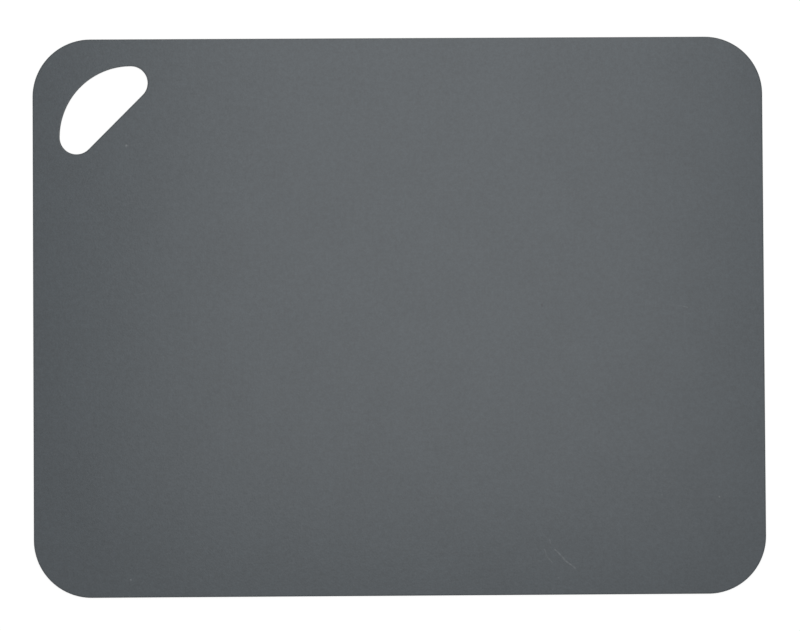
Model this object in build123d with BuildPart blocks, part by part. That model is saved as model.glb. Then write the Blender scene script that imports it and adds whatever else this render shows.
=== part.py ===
import os
from itertools import accumulate

from build123d import *

# A flexible kitchen cutting mat. It is one springy sheet of soft plastic with
# rounded corners and a half-moon hand hole through its rear left corner.
# The sheet has no hinge or fold of its own. It bends smoothly, so here it is divided
# at closely spaced bend lines into strips that run its whole length. Neighbouring
# strips touch face to face while the mat lies flat, and each pair turns about the
# line where their upper faces meet when the long sides are curled up.
# The origin is at the centre of the underside, +X runs along the length, +Y to the
# rear and +Z up out of the cutting face.

# Sheet
mat_length = 380.0
mat_width = 290.0
sheet_thickness = 2.0
corner_radius = 30.0
edge_round = 0.5
largest_round_share = 0.45  # of the thickness, so that a flat stays on the edge

# Hand hole: a quarter circle on the corner side, closed by a straight chord
hole_margin = 14.0  # sheet left between the hole and each of the two near edges
hole_arc_radius = 37.0
hole_end_radius = 8.8
chord_side = -45.0  # direction, in degrees, from each rounded end's centre to the chord

hole_arc_x = -mat_length / 2 + hole_margin + hole_arc_radius
hole_arc_y = mat_width / 2 - hole_margin - hole_arc_radius
hole_end_reach = hole_arc_radius - hole_end_radius  # from the arc's centre to an end's

# Bend lines. Going out from the centre strip, each side has strips before the hole,
# across it and past it, evenly wide within each group. The front and rear tips of the
# hole end inside the last strip before it and the first one past it, so that no bend
# line leaves a thin sliver beside the hole. The front side mirrors the rear.
before_hole_count = 8
across_hole_count = 3
past_hole_count = 2
tip_share = 0.65  # of a strip's width, how far a tip of the hole reaches into its strip
cut_overrun = 5.0

hole_front_y = hole_arc_y - hole_end_radius
strip_before_width = hole_front_y / (before_hole_count + 1 / 2 - tip_share)
strip_past_width = hole_margin / (past_hole_count - tip_share)
first_across_y = (before_hole_count + 1 / 2) * strip_before_width
last_across_y = mat_width / 2 - past_hole_count * strip_past_width
strip_across_width = (last_across_y - first_across_y) / across_hole_count

side_strip_widths = (
    before_hole_count * [strip_before_width]
    + across_hole_count * [strip_across_width]
    + past_hole_count * [strip_past_width]
)
# from the centre strip's rear face out to the mat's rear edge
bend_line_y = list(accumulate(side_strip_widths, initial=strip_before_width / 2))


with BuildPart() as sheet:
    with BuildSketch():
        RectangleRounded(mat_length, mat_width, corner_radius)
        with BuildLine():
            CenterArc((hole_arc_x, hole_arc_y), hole_arc_radius, 180, -90)
            right_end = CenterArc(
                (hole_arc_x, hole_arc_y + hole_end_reach), hole_end_radius, 90, chord_side - 90
            )
            left_end = CenterArc(
                (hole_arc_x - hole_end_reach, hole_arc_y), hole_end_radius, 180, chord_side + 180
            )
            Line(right_end @ 1, left_end @ 1)
        make_face(mode=Mode.SUBTRACT)
    extrude(amount=sheet_thickness)
    upper_and_lower_faces = sheet.faces().filter_by(Axis.Z)
    fillet(
        upper_and_lower_faces.edges(),
        min(edge_round, largest_round_share * sheet_thickness),
    )


def make_strip(name, near_y, far_y):
    """Cuts the strip between two lines out of the sheet and writes it under its name."""
    with BuildPart() as strip:
        add(sheet.part)
        with Locations((0, (near_y + far_y) / 2, sheet_thickness / 2)):
            Box(
                mat_length + cut_overrun,
                abs(far_y - near_y),
                sheet_thickness + cut_overrun,
                mode=Mode.INTERSECT,
            )
    strip.part.label = name
    export_step(strip.part, f"parts/{name}.step")
    print(name, "from y", round(near_y, 3), "to", round(far_y, 3), len(strip.solids()), "solids")


os.makedirs("parts", exist_ok=True)
make_strip("centre_strip", -bend_line_y[0], bend_line_y[0])
for side, sign in (("rear", 1), ("front", -1)):
    for number in range(1, len(bend_line_y)):
        make_strip(
            f"{side}_strip_{number}",
            sign * bend_line_y[number - 1],
            sign * bend_line_y[number],
        )
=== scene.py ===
import bpy
import numpy as np
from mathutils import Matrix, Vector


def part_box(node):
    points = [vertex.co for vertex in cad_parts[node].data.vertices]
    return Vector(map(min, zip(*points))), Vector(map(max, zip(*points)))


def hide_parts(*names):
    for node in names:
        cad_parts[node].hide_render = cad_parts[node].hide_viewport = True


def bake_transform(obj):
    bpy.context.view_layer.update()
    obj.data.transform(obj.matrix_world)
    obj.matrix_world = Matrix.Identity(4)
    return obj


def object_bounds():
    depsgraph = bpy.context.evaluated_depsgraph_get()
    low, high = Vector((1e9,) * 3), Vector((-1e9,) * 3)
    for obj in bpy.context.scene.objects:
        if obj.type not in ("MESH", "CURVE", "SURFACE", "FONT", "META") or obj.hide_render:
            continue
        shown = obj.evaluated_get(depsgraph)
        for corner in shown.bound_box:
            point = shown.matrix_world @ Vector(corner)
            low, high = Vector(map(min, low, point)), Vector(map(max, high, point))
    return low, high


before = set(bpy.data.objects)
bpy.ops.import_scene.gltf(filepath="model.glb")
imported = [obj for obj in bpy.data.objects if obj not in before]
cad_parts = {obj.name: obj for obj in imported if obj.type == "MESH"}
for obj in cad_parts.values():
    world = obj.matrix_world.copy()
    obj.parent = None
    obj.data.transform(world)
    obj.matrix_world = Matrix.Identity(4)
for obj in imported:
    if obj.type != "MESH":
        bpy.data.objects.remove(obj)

# Lengths are in metres. +X runs along the mat, +Y to its rear, and its underside lies at z = 0.

cadLow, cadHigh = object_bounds()
print("frame loaded with", len(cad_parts), "strips")


# The sheet, as it lies flat

sheet = {
    "length": cadHigh.x - cadLow.x,
    "width": cadHigh.y - cadLow.y,
    "thickness": cadHigh.z - cadLow.z,
    "cornerRadius": 0.030,
    "edgeRound": 0.0005,
    "roundSteps": 5,        # facets across a rounded edge
    "edgeRows": [0.0008, 0.002, 0.004],   # further rows inside the edges, for even shading and wear
    "bendSteps": 10,       # rows across a bend
    "cutRow": 0.0003,       # a row this close to each cut, so that neighbours shade alike
    "arcStep": 4.0,         # degrees between rows along the corners and the hole's long arc
    "endStep": 8.0,         # and round the hole's two small ends
    "columns": 12,          # across the widest stretch
    "narrowColumns": 3,     # between the hole and the left edge
    "edgeGap": 1e-6,        # least gap between the rows along the edges and the cuts
    "arcGap": 0.00008,      # between the rows of the arcs and those
    "bendGap": 0.0003,      # and between the even rows over a bend and all of them
    "placeDigits": 7,       # decimals to which points that coincide agree
    "sharpAngle": 40,       # degrees
}

# The hand hole: a quarter of a circle towards the corner, closed by a straight chord
hole = {
    "margin": 0.014,
    "arcRadius": 0.037,
    "endRadius": 0.0088,
}

halfLength, halfWidth = sheet["length"] / 2, sheet["width"] / 2
holeX = -halfLength + hole["margin"] + hole["arcRadius"]    # the long arc's centre
holeY = halfWidth - hole["margin"] - hole["arcRadius"]
endReach = hole["arcRadius"] - hole["endRadius"]
leftEndX = holeX - endReach                 # centre of the left end, level with holeY
rearEndY = holeY + endReach                 # centre of the right end, in line with holeX
frontTipY = holeY - hole["endRadius"]
rearTipY = holeY + hole["arcRadius"]


def heightAt(distance):
    # thickness less the round: a quarter circle of edgeRound, level once the distance reaches it
    short = np.maximum(sheet["edgeRound"] - distance, 0)
    fall = sheet["edgeRound"] - np.sqrt(np.maximum(sheet["edgeRound"] ** 2 - short**2, 0))
    return sheet["thickness"] - fall


def outerReach(y, inset):
    # x of the outline moved inwards: straight, then a quarter circle about the corner's centre
    beyond = np.maximum(np.abs(y) - (halfWidth - sheet["cornerRadius"]), 0)
    across = np.sqrt(np.maximum((sheet["cornerRadius"] - inset) ** 2 - beyond**2, 0))
    return halfLength - sheet["cornerRadius"] + across


def circleReach(y, centreY, radius):
    # half the chord of a circle at that y, nothing beyond it
    return np.sqrt(np.maximum(radius**2 - (y - centreY) ** 2, 0))


def holeLeft(y, outset):
    # x of the hole's left side moved out: the long arc, and in front of its centre
    # the left end's circle
    arc = holeX - circleReach(y, holeY, hole["arcRadius"] + outset)
    end = leftEndX - circleReach(y, holeY, hole["endRadius"] + outset)
    return np.where(y >= holeY, arc, end)


def holeRight(y, outset):
    # x of the hole's right side moved out: the right end's circle, the chord, the left end's circle
    radius = hole["endRadius"] + outset
    rearEnd = holeX + circleReach(y, rearEndY, radius)
    frontEnd = leftEndX + circleReach(y, holeY, radius)
    chord = y - (rearEndY - holeX) + np.sqrt(2) * radius
    drop = radius / np.sqrt(2)
    return np.where(y > rearEndY - drop, rearEnd, np.where(y < holeY - drop, frontEnd, chord))


turns = np.radians(np.linspace(0, 90, sheet["roundSteps"] + 1))
edgeInsets = np.append(sheet["edgeRound"] * (1 - np.cos(turns)), sheet["edgeRows"])
farEnough = edgeInsets[-1]


def arcRows(centreY, radius, first, last, step):
    # y of points at even turns along an arc
    turned = np.radians(np.arange(first, last + step / 2, step))
    return centreY + radius * np.sin(turned)


def addRows(rows, more, gap):
    # the rows with those of the others that keep clear of them
    clear = np.abs(more[:, None] - rows[None, :]).min(axis=1) > gap
    return np.append(rows, more[clear])


def sheetRows(nearY, farY, bendFrom, bendTo):
    # y of the rows of one stretch: its cuts, the rows along the edges and the arcs,
    # and even rows over the bend
    edges = halfWidth - edgeInsets
    holeEdges = np.concatenate([rearTipY + edgeInsets, frontTipY - edgeInsets])
    cornerY = halfWidth - sheet["cornerRadius"]
    corners = arcRows(cornerY, sheet["cornerRadius"], 0, 90, sheet["arcStep"])
    rows = np.array([nearY, farY, bendFrom + sheet["cutRow"], bendTo - sheet["cutRow"]])
    rows = addRows(rows, np.concatenate([edges, -edges, holeEdges]), sheet["edgeGap"])
    longArc = arcRows(holeY, hole["arcRadius"], 0, 90, sheet["arcStep"])
    rearEnd = arcRows(rearEndY, hole["endRadius"], -45, 90, sheet["endStep"])
    frontEnd = arcRows(holeY, hole["endRadius"], -90, 0, sheet["endStep"])
    for more in (corners, -corners, longArc, rearEnd, frontEnd):
        rows = addRows(rows, more, sheet["arcGap"])
    overBend = np.linspace(bendFrom, bendTo, sheet["bendSteps"] + 1)
    rows = addRows(rows, overBend, sheet["bendGap"])
    return np.unique(rows[(rows >= nearY) & (rows <= farY)])


def between(left, right, count):
    # evenly spaced columns between two sides, the sides themselves left out
    shares = np.arange(1, count + 1) / (count + 1)
    return left + shares * (right - left)


def sheetTop(rows):
    # upper surface of one stretch: x and the distance from the nearest edge, as grids of
    # rows by columns; columns follow the outline and the hole at fixed distances, with
    # even ones between
    y = rows[:, None]
    sideInsets = edgeInsets[None, :]
    left = -outerReach(y, sideInsets)
    right = outerReach(y, sideInsets[:, ::-1])
    fromSide = np.broadcast_to(sideInsets, left.shape)
    toFrontOrRear = np.maximum(halfWidth - np.abs(y), 0)

    def part(blocks):
        # blocks of columns side by side, none further from the front or rear edge than its row
        x = np.concatenate([block[0] for block in blocks], axis=1)
        distance = np.concatenate([block[1] for block in blocks], axis=1)
        return x, np.minimum(np.minimum(distance, toFrontOrRear), farEnough)

    def middle(leftX, rightX, count):
        x = between(leftX, rightX, count)
        return x, np.full(x.shape, farEnough)

    if rows[-1] <= frontTipY - farEnough:
        return [part([
            (left, fromSide),
            middle(left[:, -1:], right[:, :1], sheet["columns"]),
            (right, fromSide[:, ::-1]),
        ])]
    pastTip = np.maximum(np.maximum(y - rearTipY, frontTipY - y), 0)
    fromHole = np.maximum(np.broadcast_to(sideInsets, left.shape), pastTip)
    holeL = holeLeft(y, sideInsets[:, ::-1])
    holeR = holeRight(y, sideInsets)
    return [
        part([
            (left, fromSide),
            middle(left[:, -1:], holeL[:, :1], sheet["narrowColumns"]),
            (holeL, fromHole[:, ::-1]),
        ]),
        part([
            (holeR, fromHole),
            middle(holeR[:, -1:], right[:, :1], sheet["columns"]),
            (right, fromSide[:, ::-1]),
        ]),
    ]


def gridFaces(rowCount, columnCount, first):
    # four corners of each cell, anticlockwise seen from above
    corner = first + np.arange(rowCount - 1)[:, None] * columnCount + np.arange(columnCount - 1)
    cells = np.stack([corner, corner + 1, corner + columnCount + 1, corner + columnCount], axis=-1)
    return cells.reshape(-1, 4)


def sheetStretch(name, nearY, farY, bendFrom, bendTo):
    # closed piece of the sheet between two straight cuts
    rows = sheetRows(nearY, farY, bendFrom, bendTo)
    points, cells, distances, count = [], [], [], 0
    for x, distance in sheetTop(rows):
        y = np.broadcast_to(rows[:, None], x.shape)
        points.append(np.stack([x, y, heightAt(distance)], axis=-1).reshape(-1, 3))
        distances.append(distance.ravel())
        cells.append(gridFaces(*x.shape, count))
        count += x.size
    points, distances, cells = map(np.concatenate, (points, distances, cells))

    # columns that run together past the hole's tips and at the corners become one
    rounded = np.round(points, sheet["placeDigits"])
    _, first, same = np.unique(rounded, axis=0, return_index=True, return_inverse=True)
    cells = same.reshape(-1)[cells]
    points, distances = points[first], distances[first]
    repeats = cells == np.roll(cells, -1, axis=1)
    quads = cells[repeats.sum(axis=1) == 0]
    folded = repeats.sum(axis=1) == 1
    triangles = cells[folded][~repeats[folded]].reshape(-1, 3)

    # the underside mirrors the top, and a wall joins the two along every open side
    total = len(points)
    below = points * [1, 1, -1] + [0, 0, sheet["thickness"]]
    steps = np.concatenate([
        np.stack([quads, np.roll(quads, -1, axis=1)], axis=-1).reshape(-1, 2),
        np.stack([triangles, np.roll(triangles, -1, axis=1)], axis=-1).reshape(-1, 2),
    ])
    there, back = steps @ [total, 1], steps @ [1, total]
    start, end = steps[~np.isin(there, back)].T
    walls = np.stack([end, start, start + total, end + total], axis=-1)
    faces = quads.tolist() + triangles.tolist() + walls.tolist()
    faces += (quads[:, ::-1] + total).tolist() + (triangles[:, ::-1] + total).tolist()

    mesh = bpy.data.meshes.new(name)
    mesh.from_pydata(np.concatenate([points, below]).tolist(), [], faces)
    mesh.shade_smooth()
    mesh.set_sharp_from_angle(angle=np.radians(sheet["sharpAngle"]))
    restPlace = mesh.attributes.new("restPlace", "FLOAT_VECTOR", "POINT")
    restPlace.data.foreach_set("vector", np.concatenate([points, below]).astype(np.float32).ravel())
    edgeDistance = mesh.attributes.new("edgeDistance", "FLOAT", "POINT")
    edgeDistance.data.foreach_set("value", np.tile(distances, 2).astype(np.float32))
    piece = bpy.data.objects.new(name, mesh)
    bpy.context.scene.collection.objects.link(piece)
    return piece


# Node helpers

def newGroup(name, inputs, outputs):
    # a shader node group with named sockets, and its two end nodes
    group = bpy.data.node_groups.new(name, "ShaderNodeTree")
    for socketName, kind, value in inputs:
        socket = group.interface.new_socket(name=socketName, in_out="INPUT", socket_type=kind)
        socket.default_value = value
    for socketName, kind in outputs:
        group.interface.new_socket(name=socketName, in_out="OUTPUT", socket_type=kind)
    return group, group.nodes.new("NodeGroupInput"), group.nodes.new("NodeGroupOutput")


def feed(tree, socket, value):
    # links a socket, or sets a plain value
    if isinstance(value, bpy.types.NodeSocket):
        tree.links.new(value, socket)
    else:
        socket.default_value = value


def mathNode(tree, operation, *values, clamp=False):
    node = tree.nodes.new("ShaderNodeMath")
    node.operation = operation
    node.use_clamp = clamp
    for socket, value in zip(node.inputs, values):
        feed(tree, socket, value)
    return node.outputs[0]


def vectorNode(tree, operation, *values):
    node = tree.nodes.new("ShaderNodeVectorMath")
    node.operation = operation
    for socket, value in zip(node.inputs, values):
        feed(tree, socket, value)
    return node.outputs["Value" if operation in ("DOT_PRODUCT", "LENGTH") else "Vector"]


def rangeNode(tree, value, fromMin, fromMax, toMin, toMax, smooth=False):
    node = tree.nodes.new("ShaderNodeMapRange")
    node.interpolation_type = "SMOOTHSTEP" if smooth else "LINEAR"
    for socket, given in zip(node.inputs, (value, fromMin, fromMax, toMin, toMax)):
        feed(tree, socket, given)
    return node.outputs[0]


def noiseNode(tree, place, scale, detail, roughness=0.5):
    node = tree.nodes.new("ShaderNodeTexNoise")
    for socketName, value in zip(
        ("Vector", "Scale", "Detail", "Roughness"), (place, scale, detail, roughness)
    ):
        feed(tree, node.inputs[socketName], value)
    return node.outputs[0]


def mixColour(tree, share, first, second):
    node = tree.nodes.new("ShaderNodeMix")
    node.data_type = "RGBA"
    for key, value in ((0, share), ("A", first), ("B", second)):
        feed(tree, node.inputs[key], value)
    return node.outputs["Result"]


def groupNode(tree, group, **values):
    node = tree.nodes.new("ShaderNodeGroup")
    node.node_tree = group
    for socket in node.inputs:
        key = socket.name[0].lower() + socket.name[1:].replace(" ", "")
        if key in values:
            feed(tree, socket, values[key])
    return node.outputs


# Effects of the plastic, each one a group

noiseMiddle = 0.5

# A break lists the noise's lower and upper value, and what the two become
effect = {
    "pebbleSoftness": 0.6,
    "fineScale": 1.7,       # the fine noise against the pebbles
    "fineDetail": 2.0,
    "fineHeight": 0.8,
    "fineShade": 0.2,       # its share of the shade, and the softer noise has the rest
    "cloudDetail": 3.0,
    "cloudRoughness": 0.55,
    "cloudBreak": (0.3, 0.7, -1.0, 1.0),
    "rimScale": 400.0,
    "rimDetail": 3.0,
    "rimBreak": (0.35, 0.65, 0.2, 1.0),
    "hairlineStretch": (0.06, 1.0, 1.0),
    "hairlineWidth": 0.012,
    "hairlinePatches": 35.0,
    "hairlineBreak": (0.5, 0.65, 0.0, 1.0),
    "wobbleScale": 900.0,
    "markScale": 600.0,
    "markBreak": (0.38, 0.6, 0.4, 1.0),
}


def mouldedGrainGroup():
    # fine pebbles of the mould's blasted face: cells of one size with noise over them,
    # and a shade that mixes the fine noise with a softer one
    group, given, out = newGroup(
        "mouldedGrain",
        [("Place", "NodeSocketVector", (0, 0, 0)), ("Grain Size", "NodeSocketFloat", 0.0008)],
        [("Height", "NodeSocketFloat"), ("Shade", "NodeSocketFloat")],
    )
    scale = mathNode(group, "DIVIDE", 1.0, given.outputs["Grain Size"])
    cells = group.nodes.new("ShaderNodeTexVoronoi")
    cells.feature = "SMOOTH_F1"
    feed(group, cells.inputs["Vector"], given.outputs["Place"])
    feed(group, cells.inputs["Scale"], scale)
    feed(group, cells.inputs["Smoothness"], effect["pebbleSoftness"])
    fineScale = mathNode(group, "MULTIPLY", scale, effect["fineScale"])
    fine = noiseNode(group, given.outputs["Place"], fineScale, effect["fineDetail"])
    soft = noiseNode(group, given.outputs["Place"], scale, 1.0)
    pebbles = mathNode(group, "SUBTRACT", 1.0, cells.outputs["Distance"])
    height = mathNode(group, "MULTIPLY_ADD", fine, effect["fineHeight"], pebbles)
    feed(group, out.inputs["Height"], height)
    softShade = mathNode(group, "MULTIPLY", soft, 1.0 - effect["fineShade"])
    shade = mathNode(group, "MULTIPLY_ADD", fine, effect["fineShade"], softShade)
    feed(group, out.inputs["Shade"], shade)
    return group


def cloudyToneGroup():
    # slow drift of the pigment and the finish, about 0
    group, given, out = newGroup(
        "cloudyTone",
        [("Place", "NodeSocketVector", (0, 0, 0)), ("Patch Size", "NodeSocketFloat", 0.03)],
        [("Tone", "NodeSocketFloat")],
    )
    scale = mathNode(group, "DIVIDE", 1.0, given.outputs["Patch Size"])
    patches = noiseNode(
        group, given.outputs["Place"], scale, effect["cloudDetail"], effect["cloudRoughness"]
    )
    feed(group, out.inputs["Tone"], rangeNode(group, patches, *effect["cloudBreak"]))
    return group


def rimWearAndShadeGroup():
    # 1 on the outer edge, fading over the given width, broken up by noise; it marks both the edge's
    # worn polish and the painted shade on its round
    group, given, out = newGroup(
        "rimWear",
        [
            ("Place", "NodeSocketVector", (0, 0, 0)),
            ("Edge Distance", "NodeSocketFloat", 1.0),
            ("Width", "NodeSocketFloat", 0.001),
        ],
        [("Mask", "NodeSocketFloat")],
    )
    distance, width = given.outputs["Edge Distance"], given.outputs["Width"]
    near = rangeNode(group, distance, 0.0, width, 1.0, 0.0, smooth=True)
    worn = noiseNode(group, given.outputs["Place"], effect["rimScale"], effect["rimDetail"])
    broken = rangeNode(group, worn, *effect["rimBreak"])
    feed(group, out.inputs["Mask"], mathNode(group, "MULTIPLY", near, broken))
    return group


def hairlinesGroup():
    # broken hairlines left by wiping: noise drawn out along one direction, of which only
    # the ridges are kept
    group, given, out = newGroup(
        "hairlines",
        [
            ("Place", "NodeSocketVector", (0, 0, 0)),
            ("Turn", "NodeSocketFloat", 0.4),
            ("Spacing", "NodeSocketFloat", 0.004),
        ],
        [("Mask", "NodeSocketFloat")],
    )
    turned = group.nodes.new("ShaderNodeVectorRotate")
    turned.rotation_type = "Z_AXIS"
    feed(group, turned.inputs["Vector"], given.outputs["Place"])
    feed(group, turned.inputs["Angle"], given.outputs["Turn"])
    drawn = vectorNode(group, "MULTIPLY", turned.outputs[0], effect["hairlineStretch"])
    scale = mathNode(group, "DIVIDE", 1.0, given.outputs["Spacing"])
    ridges = noiseNode(group, drawn, scale, 1.0)
    line = mathNode(group, "ABSOLUTE", mathNode(group, "SUBTRACT", ridges, noiseMiddle))
    thin = rangeNode(group, line, 0.0, effect["hairlineWidth"], 1.0, 0.0)
    wiped = noiseNode(group, given.outputs["Place"], effect["hairlinePatches"], 2.0)
    patches = rangeNode(group, wiped, *effect["hairlineBreak"])
    feed(group, out.inputs["Mask"], mathNode(group, "MULTIPLY", thin, patches))
    return group


def markGroup():
    # a short uneven line between two points: 1 on the line, fading out at the half width
    group, given, out = newGroup(
        "mark",
        [
            ("Place", "NodeSocketVector", (0, 0, 0)),
            ("Start", "NodeSocketVector", (0, 0, 0)),
            ("End", "NodeSocketVector", (0, 0, 0)),
            ("Half Width", "NodeSocketFloat", 0.0003),
            ("Wobble", "NodeSocketFloat", 0.0003),
        ],
        [("Mask", "NodeSocketFloat")],
    )
    drift = group.nodes.new("ShaderNodeTexNoise")
    feed(group, drift.inputs["Vector"], given.outputs["Place"])
    feed(group, drift.inputs["Scale"], effect["wobbleScale"])
    push = group.nodes.new("ShaderNodeVectorMath")
    push.operation = "SCALE"
    drifted = vectorNode(group, "SUBTRACT", drift.outputs["Color"], (noiseMiddle,) * 3)
    feed(group, push.inputs[0], drifted)
    feed(group, push.inputs["Scale"], mathNode(group, "MULTIPLY", given.outputs["Wobble"], 2.0))
    pushed = vectorNode(group, "ADD", given.outputs["Place"], push.outputs[0])
    run = vectorNode(group, "SUBTRACT", given.outputs["End"], given.outputs["Start"])
    away = vectorNode(group, "SUBTRACT", pushed, given.outputs["Start"])
    share = mathNode(
        group, "DIVIDE",
        vectorNode(group, "DOT_PRODUCT", away, run),
        vectorNode(group, "DOT_PRODUCT", run, run),
        clamp=True,
    )
    along = group.nodes.new("ShaderNodeVectorMath")
    along.operation = "SCALE"
    feed(group, along.inputs[0], run)
    feed(group, along.inputs["Scale"], share)
    distance = vectorNode(group, "LENGTH", vectorNode(group, "SUBTRACT", away, along.outputs[0]))
    line = rangeNode(group, distance, 0.0, given.outputs["Half Width"], 1.0, 0.0, smooth=True)
    skips = noiseNode(group, given.outputs["Place"], effect["markScale"], 1.0)
    broken = rangeNode(group, skips, *effect["markBreak"])
    feed(group, out.inputs["Mask"], mathNode(group, "MULTIPLY", line, broken))
    return group


# The soft plastic of the mat

plastic = {
    "colour": (0.0430, 0.0530, 0.0610),      # dark bluish grey
    "roughness": 0.33,
    "grainSize": 0.0010,
    "grainHeight": 0.000022,
    "grainShade": 0.56,       # share by which the grain changes the colour
    "speckleSize": 0.0025,
    "speckleShade": 0.095,
    "patchSize": 0.035,
    "patchShade": 0.045,
    "finishSize": 0.012,
    "finishShift": (3, 1, 2),                # keeps the finish apart from the tone
    "finishRoughness": 0.010,
    "rimWidth": 0.0012,
    "rimShade": -0.30,        # painted shade: the rounded edge darker in colour, standing in for its shading; handling's polish is only the lower roughness below
    "rimRoughness": -0.05,
    "hairlineSpacing": 0.004,
    "hairlineRoughness": 0.02,
    "markWobble": 0.0003,
    "paleMark": (0.150, 0.160, 0.168, 1),    # cut plastic turns pale
    "darkMark": (0.012, 0.014, 0.017, 1),
}

# Marks on the cutting face, each with its points, its half width and its strength
paleMarks = [
    ([(0.0803, -0.1215), (0.0837, -0.1251), (0.0859, -0.1277), (0.0909, -0.1314)], 0.0006, 0.58),
    ([(0.0774, -0.1165), (0.0778, -0.1182)], 0.0006, 0.4),
    ([(0.0730, -0.1120), (0.0771, -0.1167)], 0.0004, 0.1),
    ([(0.0747, -0.1214), (0.0763, -0.1256), (0.0786, -0.1281)], 0.0005, 0.25),
    ([(0.0783, -0.1276)], 0.0006, 0.4),
    ([(0.0587, -0.1309), (0.0724, -0.1271)], 0.0005, 0.08),
    ([(0.0820, -0.1362)], 0.0006, 0.5),
    ([(0.0788, -0.1421)], 0.0006, 0.4),
    ([(0.1658, -0.0946)], 0.0007, 1.0),
    ([(0.1658, -0.0946), (0.1753, -0.0908)], 0.0004, 0.1),
    ([(0.1360, -0.0935)], 0.0007, 0.4),
    ([(0.1409, 0.0053), (0.1456, 0.0048)], 0.0005, 0.10),
    ([(0.1456, 0.0048), (0.1500, 0.0039)], 0.0005, 0.25),
    ([(-0.1435, 0.0112), (-0.1360, 0.0119)], 0.0004, 0.08),
    ([(-0.1360, 0.0119), (-0.1280, 0.0134)], 0.0005, 0.15),
    ([(-0.1413, 0.0894)], 0.0010, 1.0),
    ([(-0.1413, 0.0894), (-0.1342, 0.0906)], 0.0004, 0.12),
    ([(-0.1398, -0.1358)], 0.0008, 0.8),
]
darkMarks = [
    ([(0.0743, 0.0059), (0.0743, 0.0047)], 0.0006, 0.8),
    ([(0.0387, 0.1043)], 0.0006, 0.5),
    ([(0.1321, 0.0427)], 0.0006, 0.4),
    ([(-0.0750, 0.1077)], 0.0007, 0.4),
    ([(-0.0492, 0.1211)], 0.0006, 0.5),
    ([(-0.0926, -0.0562)], 0.0008, 0.4),
    ([(-0.0575, -0.0451)], 0.0010, 0.4),
    ([(0.0809, -0.0614), (0.0819, -0.0604)], 0.0006, 0.5),
    ([(0.1036, -0.0607)], 0.0007, 0.5),
    ([(0.1033, -0.0689)], 0.0006, 0.4),
]


def strongestMark(tree, place, marks):
    # at each place, the mask of the mark that shows there most
    strongest = 0.0
    group = markGroup()
    for points, markWidth, strength in marks:
        for start, end in zip(points, points[1:] or points):
            mask = groupNode(
                tree, group, place=place, halfWidth=markWidth, wobble=plastic["markWobble"],
                start=(*start, sheet["thickness"]), end=(*end, sheet["thickness"]),
            )["Mask"]
            weighed = mathNode(tree, "MULTIPLY", mask, strength)
            strongest = mathNode(tree, "MAXIMUM", strongest, weighed)
    return strongest


def softPlastic():
    material = bpy.data.materials.new("softMattPlastic")
    material.use_nodes = True
    tree = material.node_tree
    shader = tree.nodes["Principled BSDF"]

    restPlace = tree.nodes.new("ShaderNodeAttribute")
    restPlace.attribute_name = "restPlace"
    place = restPlace.outputs["Vector"]
    edgeDistance = tree.nodes.new("ShaderNodeAttribute")
    edgeDistance.attribute_name = "edgeDistance"

    grain = groupNode(tree, mouldedGrainGroup(), place=place, grainSize=plastic["grainSize"])
    cloudy = cloudyToneGroup()
    tone = groupNode(tree, cloudy, place=place, patchSize=plastic["patchSize"])["Tone"]
    speckle = groupNode(tree, cloudy, place=place, patchSize=plastic["speckleSize"])["Tone"]
    shifted = vectorNode(tree, "ADD", place, plastic["finishShift"])
    finish = groupNode(tree, cloudy, place=shifted, patchSize=plastic["finishSize"])["Tone"]
    # mask of the edge: worn polish for the roughness, painted shade for the colour
    edgeWearAndShade = groupNode(
        tree, rimWearAndShadeGroup(), place=place,
        edgeDistance=edgeDistance.outputs["Fac"], width=plastic["rimWidth"],
    )["Mask"]
    wiped = groupNode(
        tree, hairlinesGroup(), place=place, spacing=plastic["hairlineSpacing"],
    )["Mask"]

    # shade: a factor about 1 on the colour, from the grain, speckle and tone, with painted shade at
    # the edge
    aboveMiddle = mathNode(tree, "SUBTRACT", grain["Shade"], noiseMiddle)
    shade = mathNode(tree, "MULTIPLY_ADD", aboveMiddle, plastic["grainShade"], 1.0)
    shade = mathNode(tree, "MULTIPLY_ADD", speckle, plastic["speckleShade"], shade)
    shade = mathNode(tree, "MULTIPLY_ADD", tone, plastic["patchShade"], shade)
    # painted shade: darker colour along the rounded edge, for the shading of its round
    shade = mathNode(tree, "MULTIPLY_ADD", edgeWearAndShade, plastic["rimShade"], shade)
    plain = tree.nodes.new("ShaderNodeVectorMath")
    plain.operation = "SCALE"
    plain.inputs[0].default_value = plastic["colour"]
    feed(tree, plain.inputs["Scale"], shade)
    scratched = strongestMark(tree, place, paleMarks)
    colour = mixColour(tree, scratched, plain.outputs[0], plastic["paleMark"])
    colour = mixColour(tree, strongestMark(tree, place, darkMarks), colour, plastic["darkMark"])
    feed(tree, shader.inputs["Base Color"], colour)

    roughness = mathNode(
        tree, "MULTIPLY_ADD", finish, plastic["finishRoughness"], plastic["roughness"]
    )
    roughness = mathNode(tree, "MULTIPLY_ADD", edgeWearAndShade, plastic["rimRoughness"], roughness)
    roughness = mathNode(tree, "MULTIPLY_ADD", wiped, -plastic["hairlineRoughness"], roughness)
    feed(tree, shader.inputs["Roughness"], roughness)

    bump = tree.nodes.new("ShaderNodeBump")
    bump.inputs["Strength"].default_value = 1.0
    bump.inputs["Distance"].default_value = plastic["grainHeight"]
    feed(tree, bump.inputs["Height"], grain["Height"])
    feed(tree, shader.inputs["Normal"], bump.outputs[0])
    return material


# The pieces: each runs from the middle of one strip to that of the next, with even rows between
# them where a bend would go

def middleOf(strip):
    low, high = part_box(strip)
    return (low.y + high.y) / 2


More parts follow.
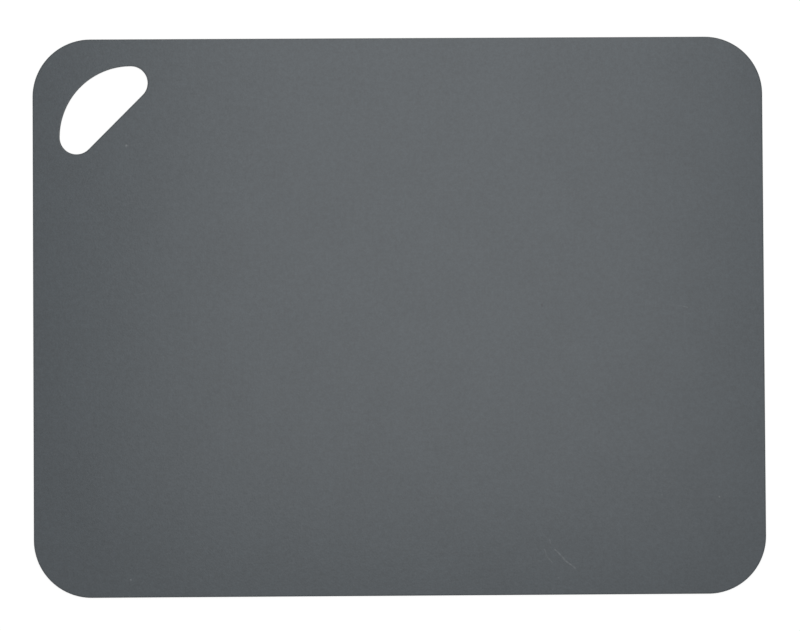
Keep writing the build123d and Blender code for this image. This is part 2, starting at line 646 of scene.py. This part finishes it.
def makeMat():
    finish = softPlastic()
    for side in ("rear", "front"):
        inner = "centre_strip"
        count = sum(name.startswith(side + "_strip_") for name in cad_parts)
        for number in range(1, count + 1):
            outer = f"{side}_strip_{number}"
            bendStart, bendEnd = middleOf(inner), middleOf(outer)
            farY = np.copysign(halfWidth, bendEnd) if number == count else bendEnd
            piece = sheetStretch(
                f"mat_{side}_{number}", *sorted((bendStart, farY)), *sorted((bendStart, bendEnd))
            )
            piece.data.materials.append(finish)
            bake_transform(piece)
            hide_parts(*((inner, outer) if number == 1 else (outer,)))
            inner = outer
        print(side, "half made of", count, "pieces")


makeMat()


# The studio: a white table, a soft lamp above it and an even white room

studio = {
    "floorSize": 24.0,
    "floorDrop": 0.0002,
    "floorColour": (0.8, 0.8, 0.8, 1),
    "seenShadow": 0.12,         # share of the floor's own shading that the camera sees
    "seenWhite": 0.92,
    "roomLight": 0.6,
    "roomSeen": 1.0,            # what the camera sees of the room
    "lampPlace": (0.033, 0.488, 0.5),   # it hangs level
    "lampSize": (0.436, 1.293),
    "lampPower": 2.59,
    "cameraPlace": (-0.01671, -0.03436, 1.5),
    "cameraTurn": (0.023281, -0.011298, -0.005964),
    "cameraLens": 129.765,
}


def seenRays(tree):
    # 1 for what the camera sees, straight, in gloss or through glass
    path = tree.nodes.new("ShaderNodeLightPath")
    seen = mathNode(tree, "MAXIMUM", path.outputs["Is Camera Ray"], path.outputs["Is Glossy Ray"])
    return mathNode(tree, "MAXIMUM", seen, path.outputs["Is Transmission Ray"])


def mixShader(tree, share, first, second):
    node = tree.nodes.new("ShaderNodeMixShader")
    for socket, value in zip(node.inputs, (share, first, second)):
        feed(tree, socket, value)
    return node.outputs[0]


def tableMaterial():
    material = bpy.data.materials.new("whiteTable")
    material.use_nodes = True
    tree = material.node_tree
    tree.nodes.remove(tree.nodes["Principled BSDF"])
    plain = tree.nodes.new("ShaderNodeBsdfDiffuse")
    plain.inputs["Color"].default_value = studio["floorColour"]
    faint = tree.nodes.new("ShaderNodeBsdfDiffuse")
    faint.inputs["Color"].default_value = (*[studio["seenShadow"]] * 3, 1)
    glow = tree.nodes.new("ShaderNodeEmission")
    glow.inputs["Strength"].default_value = studio["seenWhite"]
    white = tree.nodes.new("ShaderNodeAddShader")
    feed(tree, white.inputs[0], faint.outputs[0])
    feed(tree, white.inputs[1], glow.outputs[0])
    upper = mixShader(tree, seenRays(tree), plain.outputs[0], white.outputs[0])
    clear = tree.nodes.new("ShaderNodeBsdfTransparent")
    geometry = tree.nodes.new("ShaderNodeNewGeometry")
    # from below the table is clear, so that the underside can be looked at
    surface = mixShader(tree, geometry.outputs["Backfacing"], upper, clear.outputs[0])
    feed(tree, tree.nodes["Material Output"].inputs["Surface"], surface)
    return material


def makeTable():
    half = studio["floorSize"] / 2
    corners = np.array([(-1, -1, 0), (1, -1, 0), (1, 1, 0), (-1, 1, 0)]) * half
    corners = corners - [0, 0, studio["floorDrop"]]
    mesh = bpy.data.meshes.new("table")
    mesh.from_pydata(corners.tolist(), [], [(0, 1, 2, 3)])
    mesh.materials.append(tableMaterial())
    table = bpy.data.objects.new("table", mesh)
    bpy.context.scene.collection.objects.link(table)


def makeRoom():
    room = bpy.data.worlds.new("room")
    bpy.context.scene.world = room
    room.use_nodes = True
    tree = room.node_tree
    background = tree.nodes["Background"]
    background.inputs["Color"].default_value = (1, 1, 1, 1)
    strength = rangeNode(tree, seenRays(tree), 0.0, 1.0, studio["roomLight"], studio["roomSeen"])
    feed(tree, background.inputs["Strength"], strength)


def makeLamp():
    light = bpy.data.lights.new("softLamp", "AREA")
    light.shape = "RECTANGLE"
    light.size, light.size_y = studio["lampSize"]
    light.energy = studio["lampPower"]
    lamp = bpy.data.objects.new("softLamp", light)
    lamp.location = studio["lampPlace"]
    lamp.visible_camera = False
    bpy.context.scene.collection.objects.link(lamp)


def makeCamera():
    lens = bpy.data.cameras.new("camera")
    lens.lens = studio["cameraLens"]
    camera = bpy.data.objects.new("camera", lens)
    camera.location = studio["cameraPlace"]
    camera.rotation_euler = studio["cameraTurn"]
    bpy.context.scene.collection.objects.link(camera)
    bpy.context.scene.camera = camera


makeTable()
makeRoom()
makeLamp()
makeCamera()
bpy.context.scene.view_settings.view_transform = "Standard"
print("studio ready")
